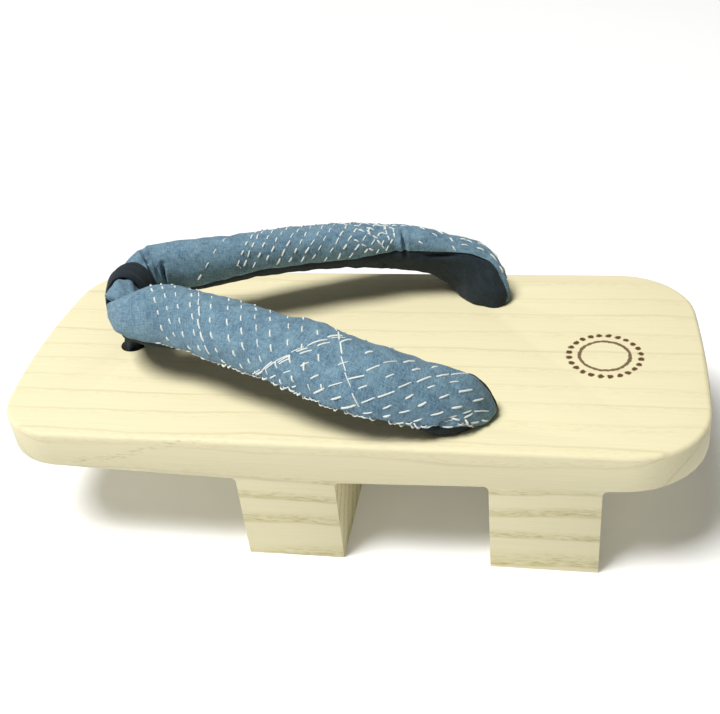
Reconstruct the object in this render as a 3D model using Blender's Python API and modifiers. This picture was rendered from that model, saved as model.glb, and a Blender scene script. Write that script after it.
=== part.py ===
# Geta sandal: a carved wooden block on two teeth, with a padded cloth strap.
# Metres, +Z up. The origin is on the floor under the middle of the block.
# +Y runs from the heel to the toe, and +X to the wearer's right.
# The two halves mirror each other, so the sandal fits either foot.

import math

import bmesh
import bpy
from mathutils import Matrix, Vector

# Block
BLOCK_LENGTH = 0.250
BLOCK_WIDTH = 0.1107
BLOCK_HEIGHT = 0.0518
TOE_CORNER_RADIUS = 0.0235
TOE_BOW = 0.0060
HEEL_CORNER_RADIUS = 0.0275
HEEL_BOW = 0.0032
TOP_ARRIS_RADIUS = 0.0016

# Teeth, carved from the same block
FRONT_TOOTH_FROM_TOE = 0.0915
FRONT_TOOTH_THICKNESS = 0.0347
REAR_TOOTH_FROM_HEEL = 0.0357
REAR_TOOTH_THICKNESS = 0.0364
TOOTH_ROOT_RADIUS = 0.0018

# Board left above the gaps: thickest at the front tooth, thinner at both tips
BOARD_AT_FRONT_TOOTH = 0.0163
BOARD_AT_REAR_TOOTH = 0.0147
BOARD_AT_TOE_TIP = 0.0128
BOARD_AT_HEEL_TIP = 0.0122

# Holes for the cords of the strap
FRONT_HOLE_RADIUS = 0.0050
FRONT_HOLE_FROM_TOE = 0.0385
REAR_HOLE_RADIUS = 0.0042
REAR_HOLE_FROM_TOOTH = 0.0099

# Strap: one stuffed cloth tube, bent round the toe loop, with an arm to each side
STRAP_WIDTH = 0.0260
STRAP_THICKNESS = 0.0180
STRAP_RISE = 0.0249
STRAP_FROM_SIDE = 0.01135
STRAP_BEND_BEHIND_HOLE = 0.0040

# Toe loop: a narrow cloth band over the bend of the strap
LOOP_WIDTH = 0.0110
LOOP_THICKNESS = 0.0016

# Knots that hold the cords under the board
FRONT_KNOT_RADIUS = 0.0075
REAR_KNOT_RADIUS = 0.0062
KNOT_FLATTENING = 0.68

# Fits
CLEARANCE = 0.0003
CORD_CLEARANCE = 0.0004

# Fineness of the round forms
CORNER_STEPS = 10
ROOT_STEPS = 4
STRAP_SECTIONS = 40
STRAP_SIDES = 24
LOOP_SECTIONS = 7
STEM_SIDES = 20

# Places that follow from the sizes above
TOE_Y = BLOCK_LENGTH / 2
HEEL_Y = -BLOCK_LENGTH / 2
FRONT_TOOTH_TOE_Y = TOE_Y - FRONT_TOOTH_FROM_TOE
FRONT_TOOTH_HEEL_Y = FRONT_TOOTH_TOE_Y - FRONT_TOOTH_THICKNESS
REAR_TOOTH_HEEL_Y = HEEL_Y + REAR_TOOTH_FROM_HEEL
REAR_TOOTH_TOE_Y = REAR_TOOTH_HEEL_Y + REAR_TOOTH_THICKNESS
FRONT_HOLE_Y = TOE_Y - FRONT_HOLE_FROM_TOE
REAR_HOLE_Y = REAR_TOOTH_TOE_Y + REAR_HOLE_FROM_TOOTH
BEND_Y = FRONT_HOLE_Y - STRAP_BEND_BEHIND_HOLE
STRAP_REACH = BEND_Y - REAR_HOLE_Y
STRAP_SPREAD = BLOCK_WIDTH / 2 - STRAP_FROM_SIDE
STRAP_SEAT_Z = BLOCK_HEIGHT + CLEARANCE

# The rear holes lie under the arms' seats, at this share of STRAP_SPREAD from the middle
SEAT_OUT_SHARE = 0.875
REAR_HOLE_X = SEAT_OUT_SHARE * STRAP_SPREAD

# Sections of one strap arm, from the bend in the middle back to its seat on the board.
# out: share of STRAP_SPREAD from the middle; back: share of STRAP_REACH behind the bend;
# up: share of STRAP_RISE above the board; wide and thick: shares of half the strap's width
# and thickness; lean: degrees that the broad face turns outwards from lying flat.
ARM_SECTION_SHARES = (
    # out, back, up, wide, thick, lean
    (0.000, 0.000, 0.84, 0.85, 0.78, 90),
    (0.182, 0.006, 0.87, 0.90, 0.84, 84),
    (0.330, 0.043, 0.92, 0.94, 0.92, 76),
    (0.386, 0.106, 0.97, 0.93, 0.98, 67),
    (0.412, 0.178, 1.00, 0.90, 1.00, 60),
    (0.466, 0.241, 1.01, 0.88, 1.00, 52),
    (0.614, 0.367, 1.00, 0.88, 0.98, 44),
    (0.759, 0.494, 0.96, 0.90, 0.95, 36),
    (0.889, 0.620, 0.90, 0.95, 0.91, 32),
    (0.989, 0.746, 0.78, 0.95, 0.87, 38),
    (1.000, 0.873, 0.60, 0.95, 0.85, 58),
    (0.950, 0.970, 0.32, 0.99, 0.84, 78),
    (0.886, 1.010, 0.00, 1.01, 0.84, 88),
    (0.860, 1.020, -0.30, 0.98, 0.78, 90),
)


def clear_scene():
    for scene_object in list(bpy.data.objects):
        bpy.data.objects.remove(scene_object, do_unlink=True)


def make_collection(name, hidden=False):
    collection = bpy.data.collections.new(name)
    bpy.context.scene.collection.children.link(collection)
    collection.hide_render = hidden
    return collection


def make_material(name, color, roughness):
    material = bpy.data.materials.new(name)
    material.use_nodes = True
    shader = material.node_tree.nodes["Principled BSDF"]
    shader.inputs["Base Color"].default_value = (*color, 1.0)
    shader.inputs["Roughness"].default_value = roughness
    shader.inputs["Metallic"].default_value = 0.0
    return material


def object_from_bmesh(name, mesh_data, collection):
    mesh = bpy.data.meshes.new(name)
    bmesh.ops.recalc_face_normals(mesh_data, faces=mesh_data.faces)
    mesh_data.to_mesh(mesh)
    mesh_data.free()
    new_object = bpy.data.objects.new(name, mesh)
    collection.objects.link(new_object)
    return new_object


def mesh_from_curve(curve_object, collection):
    """A real mesh of an extruded outline, with its loose caps welded on."""
    bpy.context.view_layer.update()
    evaluated = curve_object.evaluated_get(bpy.context.evaluated_depsgraph_get())
    mesh = bpy.data.meshes.new_from_object(evaluated)
    name = curve_object.name
    matrix = curve_object.matrix_world.copy()
    bpy.data.objects.remove(curve_object, do_unlink=True)
    new_object = bpy.data.objects.new(name, mesh)
    new_object.matrix_world = matrix
    collection.objects.link(new_object)
    welded = bmesh.new()
    welded.from_mesh(mesh)
    bmesh.ops.remove_doubles(welded, verts=welded.verts, dist=0.00001)
    bmesh.ops.recalc_face_normals(welded, faces=welded.faces)
    welded.to_mesh(mesh)
    welded.free()
    return new_object


def extruded_outline(name, points, thickness, collection):
    """A flat outline in the curve's own XY plane, extruded both ways along its own Z."""
    curve = bpy.data.curves.new(name, "CURVE")
    curve.dimensions = "2D"
    curve.fill_mode = "BOTH"
    curve.extrude = thickness / 2
    spline = curve.splines.new("POLY")
    spline.points.add(len(points) - 1)
    for spline_point, (x, y) in zip(spline.points, points):
        spline_point.co = (x, y, 0.0, 1.0)
    spline.use_cyclic_u = True
    curve_object = bpy.data.objects.new(name, curve)
    collection.objects.link(curve_object)
    return curve_object


def boolean(target, cutter, operation):
    modifier = target.modifiers.new(f"{operation.lower()} {cutter.name}", "BOOLEAN")
    modifier.object = cutter
    modifier.operation = operation
    modifier.solver = "EXACT"
    cutter.display_type = "WIRE"
    cutter.hide_render = True


def arc_points(centre_x, centre_y, radius, start, end, steps):
    """Points on an arc, both ends included, with angles in degrees."""
    points = []
    for step in range(steps + 1):
        angle = math.radians(start + (end - start) * step / steps)
        points.append((centre_x + radius * math.cos(angle), centre_y + radius * math.sin(angle)))
    return points


def bowed_end(tip_y, bow, corner_radius, direction):
    """One end of the block's plan, from its right side round to its left.

    The end is a shallow arc that rises by bow at the middle. The corner is an arc that
    touches the straight side and the end arc.
    """
    half = BLOCK_WIDTH / 2
    end_radius = (half * half + bow * bow) / (2 * bow)
    end_centre = tip_y - direction * end_radius
    corner_x = half - corner_radius
    reach = end_radius - corner_radius
    corner_y = end_centre + direction * math.sqrt(reach * reach - corner_x * corner_x)
    turn = math.degrees(math.atan2(abs(corner_y - end_centre), corner_x))
    right = arc_points(corner_x, 0.0, corner_radius, 0.0, turn, CORNER_STEPS)
    middle = arc_points(0.0, 0.0, end_radius, turn, 180.0 - turn, CORNER_STEPS)
    points = [(x, corner_y + direction * y) for x, y in right]
    points += [(x, end_centre + direction * y) for x, y in middle[1:-1]]
    points += [(-x, y) for x, y in reversed(points[:CORNER_STEPS + 1])]
    return points


def plan_outline():
    """The block seen from above, anticlockwise."""
    toe = bowed_end(TOE_Y, TOE_BOW, TOE_CORNER_RADIUS, 1.0)
    heel = bowed_end(HEEL_Y, HEEL_BOW, HEEL_CORNER_RADIUS, -1.0)
    return toe + list(reversed(heel))


def board_underside(y):
    """Height of the board's underside at y, level with neither tooth nor tip."""
    stations = (
        (HEEL_Y, BOARD_AT_HEEL_TIP),
        (REAR_TOOTH_HEEL_Y, BOARD_AT_REAR_TOOTH),
        (REAR_TOOTH_TOE_Y, BOARD_AT_REAR_TOOTH),
        (FRONT_TOOTH_HEEL_Y, BOARD_AT_FRONT_TOOTH),
        (FRONT_TOOTH_TOE_Y, BOARD_AT_FRONT_TOOTH),
        (TOE_Y, BOARD_AT_TOE_TIP),
    )
    for (y_a, board_a), (y_b, board_b) in zip(stations, stations[1:]):
        if y <= y_b:
            break
    share = (y - y_a) / (y_b - y_a)
    return BLOCK_HEIGHT - (board_a + (board_b - board_a) * share)


def root_fillet(tooth_y, side):
    """The small hollow where a tooth's face meets the board; side is +1 on its toe side."""
    radius = TOOTH_ROOT_RADIUS
    centre_y = tooth_y + side * radius
    centre_z = board_underside(centre_y) - radius
    arc = arc_points(0.0, 0.0, radius, 180.0, 90.0, ROOT_STEPS)
    return [(centre_y + side * y, centre_z + z) for y, z in arc]


def side_profile():
    """The block seen from its side, as (y, z) points running round anticlockwise."""
    past_end = 0.1 * BLOCK_LENGTH
    heel_rise = board_underside(HEEL_Y) - board_underside(REAR_TOOTH_HEEL_Y)
    toe_rise = board_underside(TOE_Y) - board_underside(FRONT_TOOTH_TOE_Y)
    heel_past = board_underside(HEEL_Y) + heel_rise * past_end / REAR_TOOTH_FROM_HEEL
    toe_past = board_underside(TOE_Y) + toe_rise * past_end / FRONT_TOOTH_FROM_TOE
    points = [(HEEL_Y - past_end, heel_past)]
    points += reversed(root_fillet(REAR_TOOTH_HEEL_Y, -1.0))
    points += [(REAR_TOOTH_HEEL_Y, 0.0), (REAR_TOOTH_TOE_Y, 0.0)]
    points += root_fillet(REAR_TOOTH_TOE_Y, 1.0)
    points += reversed(root_fillet(FRONT_TOOTH_HEEL_Y, -1.0))
    points += [(FRONT_TOOTH_HEEL_Y, 0.0), (FRONT_TOOTH_TOE_Y, 0.0)]
    points += root_fillet(FRONT_TOOTH_TOE_Y, 1.0)
    points += [(TOE_Y + past_end, toe_past)]
    above = BLOCK_HEIGHT + TOP_ARRIS_RADIUS
    points += [(TOE_Y + past_end, above), (HEEL_Y - past_end, above)]
    return points


def round_top_arris(block):
    """Rounds the edge all round the top face."""
    shape = bmesh.new()
    shape.from_mesh(block.data)
    top = max(vertex.co.z for vertex in shape.verts)
    bmesh.ops.dissolve_limit(shape, angle_limit=math.radians(0.1), verts=shape.verts,
                             edges=shape.edges)
    rim = [edge for edge in shape.edges
           if all(abs(vertex.co.z - top) < CLEARANCE for vertex in edge.verts)
           and any(abs(face.normal.z) < 0.5 for face in edge.link_faces)]
    bmesh.ops.bevel(shape, geom=rim, offset=TOP_ARRIS_RADIUS, segments=3, profile=0.5,
                    affect="EDGES", clamp_overlap=True)
    shape.to_mesh(block.data)
    shape.free()


def hole_cutter(name, x, y, radius, collection):
    bpy.ops.mesh.primitive_cylinder_add(
        vertices=STEM_SIDES * 2, radius=radius, depth=BLOCK_HEIGHT,
        location=(x, y, board_underside(y) + BLOCK_HEIGHT / 4))
    cutter = bpy.context.active_object
    cutter.name = name
    move_to(cutter, collection)
    return cutter


def move_to(scene_object, collection):
    for old in list(scene_object.users_collection):
        old.objects.unlink(scene_object)
    collection.objects.link(scene_object)


def make_sole_block(parts, cutters, wood):
    plan = extruded_outline("sole_block", plan_outline(), BLOCK_HEIGHT, parts)
    plan.location.z = BLOCK_HEIGHT / 2
    block = mesh_from_curve(plan, parts)
    round_top_arris(block)

    side = extruded_outline("side_profile", side_profile(), BLOCK_WIDTH * 1.2, cutters)
    side.rotation_euler = (math.radians(90), 0.0, math.radians(90))
    boolean(block, mesh_from_curve(side, cutters), "INTERSECT")

    front_hole = hole_cutter("front_hole", 0.0, FRONT_HOLE_Y, FRONT_HOLE_RADIUS, cutters)
    boolean(block, front_hole, "DIFFERENCE")
    for side_name, side_sign in (("left", -1.0), ("right", 1.0)):
        hole = hole_cutter(f"rear_hole_{side_name}", side_sign * REAR_HOLE_X, REAR_HOLE_Y,
                           REAR_HOLE_RADIUS, cutters)
        boolean(block, hole, "DIFFERENCE")
    block.data.materials.append(wood)
    return block


def arm_rows():
    """The section table in metres, one (place, half width, half thickness, lean) a row."""
    rows = []
    for out, back, up, wide, thick, lean in ARM_SECTION_SHARES:
        place = Vector((out * STRAP_SPREAD, BEND_Y - back * STRAP_REACH,
                        BLOCK_HEIGHT + up * STRAP_RISE))
        rows.append((place, wide * STRAP_WIDTH / 2, thick * STRAP_THICKNESS / 2,
                     math.radians(lean)))
    return rows


def row_stations(rows):
    """Distance of each row from the bend, along the chords between the rows."""
    stations = [0.0]
    for (place_a, *_), (place_b, *_) in zip(rows, rows[1:]):
        stations.append(stations[-1] + (place_b - place_a).length)
    return stations


def smooth_value(stations, values, slopes, station):
    """A cubic curve through the values, with the given slopes at them."""
    last = len(stations) - 2
    index = 0
    while index < last and station > stations[index + 1]:
        index += 1
    span = stations[index + 1] - stations[index]
    t = (station - stations[index]) / span
    start = values[index] * (1 + 2 * t) * (1 - t) ** 2 + slopes[index] * span * t * (1 - t) ** 2
    end = values[index + 1] * t * t * (3 - 2 * t) - slopes[index + 1] * span * t * t * (1 - t)
    return start + end


def slopes_through(stations, values, first_slope):
    """Slopes of a smooth curve through the values, from the spans on both sides of each."""
    slopes = [first_slope]
    for index in range(1, len(values) - 1):
        before = stations[index] - stations[index - 1]
        after = stations[index + 1] - stations[index]
        slope_before = (values[index] - values[index - 1]) / before
        slope_after = (values[index + 1] - values[index]) / after
        slopes.append((slope_before * after + slope_after * before) / (before + after))
    slopes.append((values[-1] - values[-2]) / (stations[-1] - stations[-2]))
    return slopes


class StrapArm:
    """One arm of the strap as a smooth surface: how far along it, and how far round."""

    def __init__(self):
        rows = arm_rows()
        self.stations = row_stations(rows)
        self.length = self.stations[-1]
        straight_out = Vector((1.0, 0.0, 0.0))
        self.places = [row[0] for row in rows]
        self.place_slopes = slopes_through(self.stations, self.places, straight_out)
        self.sizes = []
        for column in (1, 2, 3):
            values = [row[column] for row in rows]
            self.sizes.append((values, slopes_through(self.stations, values, 0.0)))

    def centre(self, station):
        return smooth_value(self.stations, self.places, self.place_slopes, station)

    def frame(self, station):
        """Centre, broad direction and thick direction of the section at a station."""
        step = self.length / 1000
        before = self.centre(max(station - step, 0.0))
        after = self.centre(min(station + step, self.length))
        along = (after - before).normalized()
        if station < step:
            along = Vector((1.0, 0.0, 0.0))
        outward = Vector((0.0, 0.0, 1.0)).cross(along).normalized()
        upward = along.cross(outward)
        lean = self.size(2, station)
        face = upward * math.cos(lean) + outward * math.sin(lean)
        return self.centre(station), along.cross(face), face

    def size(self, column, station):
        values, slopes = self.sizes[column]
        return smooth_value(self.stations, values, slopes, station)

    def point(self, station, angle, lift=0.0):
        """A point of the surface, lifted off it; stations below 0 lie on the mirrored arm."""
        centre, broad, face = self.frame(abs(station))
        half_width = self.size(0, abs(station)) + lift
        half_thickness = self.size(1, abs(station)) + lift
        place = (centre + broad * half_width * math.cos(angle)
                 + face * half_thickness * math.sin(angle))
        if station < 0.0:
            place.x = -place.x
        return place


def ring(shape, arm, station, lift):
    """One section of the strap, as vertices."""
    vertices = []
    for side in range(STRAP_SIDES):
        angle = 2 * math.pi * side / STRAP_SIDES
        vertices.append(shape.verts.new(arm.point(station, angle, lift)))
    return vertices


def join_rings(shape, rings):
    for ring_a, ring_b in zip(rings, rings[1:]):
        for side in range(STRAP_SIDES):
            after = (side + 1) % STRAP_SIDES
            shape.faces.new((ring_a[side], ring_a[after], ring_b[after], ring_b[side]))


def make_strap(arm, parts, cloth):
    """Half the strap from the bend to its seat, then mirrored on the sandal's middle."""
    shape = bmesh.new()
    stations = [arm.length * index / STRAP_SECTIONS for index in range(STRAP_SECTIONS + 1)]
    rings = [ring(shape, arm, station, 0.0) for station in stations]
    join_rings(shape, rings)
    seat = (0.0, 0.0, STRAP_SEAT_Z)
    bmesh.ops.bisect_plane(shape, geom=shape.verts[:] + shape.edges[:] + shape.faces[:],
                           plane_co=seat, plane_no=(0.0, 0.0, 1.0), clear_inner=True)
    cut = [edge for edge in shape.edges if edge.is_boundary
           and all(abs(vertex.co.z - STRAP_SEAT_Z) < CLEARANCE / 10 for vertex in edge.verts)]
    bmesh.ops.contextual_create(shape, geom=cut)
    strap = object_from_bmesh("strap", shape, parts)
    mirror = strap.modifiers.new("other arm", "MIRROR")
    mirror.use_axis = (True, False, False)
    mirror.merge_threshold = 0.00005
    strap.data.materials.append(cloth)
    return strap


def sleeve(name, arm, half_width, lift, collection):
    """A closed length of the strap's own form about its bend, lifted off its surface."""
    shape = bmesh.new()
    rings = []
    for index in range(LOOP_SECTIONS):
        station = half_width * (2 * index / (LOOP_SECTIONS - 1) - 1)
        rings.append(ring(shape, arm, station, lift))
    join_rings(shape, rings)
    shape.faces.new(rings[0])
    shape.faces.new(rings[-1])
    return object_from_bmesh(name, shape, collection)


def make_toe_loop(arm, parts, cutters, cloth):
    """The band round the bend, with its two ends as one round stem through the front hole."""
    lift = CLEARANCE + LOOP_THICKNESS
    loop = sleeve("toe_loop", arm, LOOP_WIDTH / 2, lift, parts)
    stem_top = arm.centre(0.0).z - arm.size(0, 0.0) / 2
    stem = cylinder("toe_stem", 0.0, FRONT_HOLE_Y, board_underside(FRONT_HOLE_Y), stem_top,
                    FRONT_HOLE_RADIUS - CORD_CLEARANCE, cutters)
    boolean(loop, stem, "UNION")
    core = sleeve("strap_room", arm, LOOP_WIDTH, CLEARANCE, cutters)
    boolean(loop, core, "DIFFERENCE")
    loop.data.materials.append(cloth)
    return loop


def cylinder(name, x, y, bottom, top, radius, collection):
    bpy.ops.mesh.primitive_cylinder_add(
        vertices=STEM_SIDES, radius=radius, depth=top - bottom, location=(x, y, (top + bottom) / 2))
    new_object = bpy.context.active_object
    new_object.name = name
    move_to(new_object, collection)
    return new_object


def knot(name, x, y, radius, collection):
    """A flattened ball of knotted cord just under the board."""
    half_height = radius * KNOT_FLATTENING
    slope = abs(board_underside(y + radius) - board_underside(y - radius)) / 2
    top = board_underside(y) - CLEARANCE - slope
    bpy.ops.mesh.primitive_uv_sphere_add(
        segments=STEM_SIDES, ring_count=12, radius=radius, location=(x, y, top - half_height))
    new_object = bpy.context.active_object
    new_object.name = name
    new_object.data.transform(Matrix.Diagonal((1.0, 1.0, KNOT_FLATTENING, 1.0)))
    move_to(new_object, collection)
    return new_object


def make_front_knot(parts, cord):
    front = knot("front_knot", 0.0, FRONT_HOLE_Y, FRONT_KNOT_RADIUS, parts)
    front.data.materials.append(cord)


def make_rear_cords(parts, cutters, cord):
    """The cord inside each arm goes through the board and is knotted under it."""
    for side_name, side_sign in (("left", -1.0), ("right", 1.0)):
        x = side_sign * REAR_HOLE_X
        rear = knot(f"rear_cord_{side_name}", x, REAR_HOLE_Y, REAR_KNOT_RADIUS, parts)
        stem = cylinder(f"rear_stem_{side_name}", x, REAR_HOLE_Y, rear.location.z, BLOCK_HEIGHT,
                        REAR_HOLE_RADIUS - CORD_CLEARANCE, cutters)
        boolean(rear, stem, "UNION")
        rear.data.materials.append(cord)


def smooth_shade(parts):
    for part in parts.objects:
        part.data.shade_smooth()
        part.data.set_sharp_from_angle(angle=math.radians(35))


def main():
    clear_scene()
    parts = make_collection("geta_sandal")
    cutters = make_collection("cutters", hidden=True)
    wood = make_material("pale_wood", (0.86, 0.79, 0.56), 0.62)
    strap_cloth = make_material("blue_strap_cloth", (0.15, 0.26, 0.41), 0.85)
    loop_cloth = make_material("navy_cloth", (0.02, 0.03, 0.05), 0.9)
    cord = make_material("pale_cord", (0.72, 0.66, 0.52), 0.8)

    arm = StrapArm()
    make_sole_block(parts, cutters, wood)
    make_strap(arm, parts, strap_cloth)
    make_toe_loop(arm, parts, cutters, loop_cloth)
    make_front_knot(parts, cord)
    make_rear_cords(parts, cutters, cord)
    smooth_shade(parts)


main()
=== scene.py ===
# %% [markdown]
# Geta sandal.
# A geta is a wooden sandal that stands on two teeth. Block and teeth are carved from one piece
# of pale paulownia, and the upper is a V of stuffed cotton held by a cloth loop between the toes.
# The measured solids come from model.glb, and every cell below dresses one of them. The file is
# loaded first, because each visible surface has to lie where its solid lies.

# %% Load the measured solids
import math
import random

import bmesh
import bpy
import numpy as np
from mathutils import Matrix, Vector, noise
from mathutils.bvhtree import BVHTree


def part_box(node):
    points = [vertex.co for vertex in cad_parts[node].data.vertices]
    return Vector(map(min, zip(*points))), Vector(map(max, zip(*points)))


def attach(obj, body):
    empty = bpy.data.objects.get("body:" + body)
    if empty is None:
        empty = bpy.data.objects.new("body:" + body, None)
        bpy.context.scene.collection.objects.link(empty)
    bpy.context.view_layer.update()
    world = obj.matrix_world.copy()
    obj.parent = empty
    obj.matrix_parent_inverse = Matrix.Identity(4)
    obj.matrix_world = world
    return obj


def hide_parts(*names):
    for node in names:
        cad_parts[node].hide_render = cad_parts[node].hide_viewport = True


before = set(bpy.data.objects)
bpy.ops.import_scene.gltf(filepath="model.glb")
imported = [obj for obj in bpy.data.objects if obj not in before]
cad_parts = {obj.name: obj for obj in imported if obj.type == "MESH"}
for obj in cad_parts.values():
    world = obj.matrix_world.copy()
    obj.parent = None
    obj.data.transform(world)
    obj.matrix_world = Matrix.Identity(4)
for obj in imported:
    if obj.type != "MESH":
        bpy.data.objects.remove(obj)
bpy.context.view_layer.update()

# %% [markdown]
# The camera.
# A photograph of a sandal can be matched by eye or by calculation. Here the corners of the block
# gave the camera by calculation: where it stands, which way it looks, and how long its lens is.
# The directions below are the right, down and forward directions of the picture. Blender's
# camera looks along its own -Z with +Y up, so two of the three change sign.

# %% Place the camera
CAMERA_PLACE = (-0.30667, -0.07387, 0.26873)
CAMERA_RIGHT = (0.165901, -0.982051, -0.089735)
CAMERA_DOWN = (-0.579895, -0.023552, -0.814350)
CAMERA_FORWARD = (0.797620, 0.187138, -0.573394)
CAMERA_LENS_MM = 51.68
SENSOR_WIDTH_MM = 36.0


def add_object(name, data):
    thing = bpy.data.objects.new(name, data)
    bpy.context.scene.collection.objects.link(thing)
    return thing


camera_data = bpy.data.cameras.new("portrait_camera")
camera_data.lens = CAMERA_LENS_MM
camera_data.sensor_width = SENSOR_WIDTH_MM
camera_data.clip_start = 0.01
camera = add_object("portrait_camera", camera_data)
camera_turn = Matrix((CAMERA_RIGHT, -Vector(CAMERA_DOWN), -Vector(CAMERA_FORWARD))).transposed()
camera.matrix_world = Matrix.Translation(CAMERA_PLACE) @ camera_turn.to_4x4()
bpy.context.scene.camera = camera
print("camera to sandal in mm:", round(camera.location.length * 1000))

# %% [markdown]
# Tools for materials.
# A material is a small network of nodes. Nodes could be placed one by one with their links, but
# an output knows which tree it belongs to. So the helpers below need only the values that they
# combine, and a recipe reads like a sum. The sky and the stitches use the same helpers.

# %% Helpers for nodes
def start_material(name):
    material = bpy.data.materials.new(name)
    material.use_nodes = True
    return material, material.node_tree, material.node_tree.nodes["Principled BSDF"]


def set_inputs(node, inputs):
    """Gives each input a plain value, or a link where the value is another node's output."""
    for key, value in inputs.items():
        if isinstance(value, bpy.types.NodeSocket):
            node.id_data.links.new(value, node.inputs[key])
        else:
            node.inputs[key].default_value = value


def add_node(tree, kind, inputs=None, **settings):
    node = tree.nodes.new(kind)
    for key, value in settings.items():
        setattr(node, key, value)
    set_inputs(node, inputs or {})
    return node


def combine(kind, values, **settings):
    """Adds a node to the tree that its first linked value belongs to."""
    linked = next(value for value in values.values() if isinstance(value, bpy.types.NodeSocket))
    return add_node(linked.id_data, kind, values, **settings)


def maths(operation, first, second=0.0, third=0.0):
    values = {0: first, 1: second, 2: third}
    return combine("ShaderNodeMath", values, operation=operation).outputs[0]


def times(first, second):
    return maths("MULTIPLY", first, second)


def times_plus(first, second, third):
    return maths("MULTIPLY_ADD", first, second, third)


def minus(first, second):
    return maths("SUBTRACT", first, second)


def object_place(tree):
    return add_node(tree, "ShaderNodeTexCoord").outputs["Object"]


def axes(place):
    return combine("ShaderNodeSeparateXYZ", {0: place}).outputs


def noise_value(place, scale, detail=2.0, roughness=0.5):
    """Smooth random values; scale says how many changes fit in one metre along each axis."""
    stretched = combine("ShaderNodeMapping", {"Vector": place, "Scale": scale}).outputs[0]
    values = {"Vector": stretched, "Scale": 1.0, "Detail": detail, "Roughness": roughness}
    return combine("ShaderNodeTexNoise", values).outputs[0]


def spread(value, low, high, to_low=0.0, to_high=1.0):
    """Turns values between low and high into values between to_low and to_high, smoothly."""
    values = {0: value, 1: low, 2: high, 3: to_low, 4: to_high}
    return combine("ShaderNodeMapRange", values, interpolation_type="SMOOTHSTEP").outputs[0]


def mix_colors(share, first, second):
    return combine("ShaderNodeMix", {0: share, 6: first, 7: second}, data_type="RGBA").outputs[2]


def bump(height, distance, strength=1.0):
    values = {"Height": height, "Distance": distance, "Strength": strength}
    return combine("ShaderNodeBump", values).outputs[0]


print("the helpers for nodes are ready")

# %% [markdown]
# Light and floor.
# The sandal was photographed on white, in light that comes from above, a little from the toe and
# from the camera's side. One large panel gives it, because a large panel makes soft shadows. A
# weak sky fills the shadows. It is brighter towards the toe, which leaves the faces towards the
# heel darker, and the floor glows a little, like paper lit from behind. Behind the floor the
# camera sees plain near-white, as in front of a studio wall.

# %% Make the light and the floor
KEY_PLACE = (-0.72, 0.98, 3.0)
KEY_SIZE = 1.15
KEY_WATTS = 125.0
KEY_COLOR = (1.0, 0.985, 0.955)
TOE_SKY = (0.24, 0.24, 0.24, 1.0)
HEEL_SKY = (0.075, 0.070, 0.045, 1.0)
SEEN_SKY = (0.90, 0.90, 0.89, 1.0)
FLOOR_SIZE = 4.0
FLOOR_GLOW = 0.10

key_light = bpy.data.lights.new("key_panel", "AREA")
key_light.size = KEY_SIZE
key_light.energy = KEY_WATTS
key_light.color = KEY_COLOR
key_panel = add_object("key_panel", key_light)
key_panel.location = KEY_PLACE
key_panel.rotation_euler = (-Vector(KEY_PLACE)).to_track_quat("-Z", "Y").to_euler()

sky = bpy.data.worlds.new("studio_sky")
sky.use_nodes = True
sky_direction = add_node(sky.node_tree, "ShaderNodeTexCoord").outputs["Generated"]
sky_color = mix_colors(spread(axes(sky_direction)["Y"], -0.7, 0.5), HEEL_SKY, TOE_SKY)
seen = add_node(sky.node_tree, "ShaderNodeLightPath").outputs["Is Camera Ray"]
set_inputs(sky.node_tree.nodes["Background"], {"Color": mix_colors(seen, sky_color, SEEN_SKY)})
bpy.context.scene.world = sky
bpy.context.scene.view_settings.view_transform = "Standard"


def paint_floor():
    material, tree, shader = start_material("white_paper")
    cloudy = noise_value(object_place(tree), (3.0, 3.0, 3.0))
    set_inputs(shader, {
        "Base Color": mix_colors(cloudy, (0.83, 0.84, 0.86, 1.0), (0.86, 0.87, 0.89, 1.0)),
        "Roughness": 0.9,
        "Emission Color": (1.0, 1.0, 1.0, 1.0),
        "Emission Strength": FLOOR_GLOW,
    })
    return material


floor_mesh = bpy.data.meshes.new("studio_floor")
half_floor = FLOOR_SIZE / 2
floor_corners = [(x * half_floor, y * half_floor, 0.0)
                 for x, y in ((-1, -1), (1, -1), (1, 1), (-1, 1))]
floor_mesh.from_pydata(floor_corners, [], [(0, 1, 2, 3)])
floor_mesh.materials.append(paint_floor())
add_object("studio_floor", floor_mesh)
print("floor side in m:", FLOOR_SIZE)

# %% [markdown]
# The wood.
# Paulownia is a pale, light wood with soft, wide rings and short open pores. An image of wood
# could be laid on each face, but then the lines wouldn't run round the corners. Here the rings
# are solid: every point of the block asks how far it lies from the middle of the tree, so the
# top shows straight lines, the sides show wavy bands, and the ends show the rings cut across.
# The tree's middle runs along the sandal, well off to one side. The pores show most on the teeth.
# A plain ring of burned dots marks the foot bed near the heel, as a hot iron would make it.

# %% Paint the wood
TREE_MIDDLE_X = 0.22
TREE_MIDDLE_Z = -0.20
RING_WIDTH = 0.0074
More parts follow.
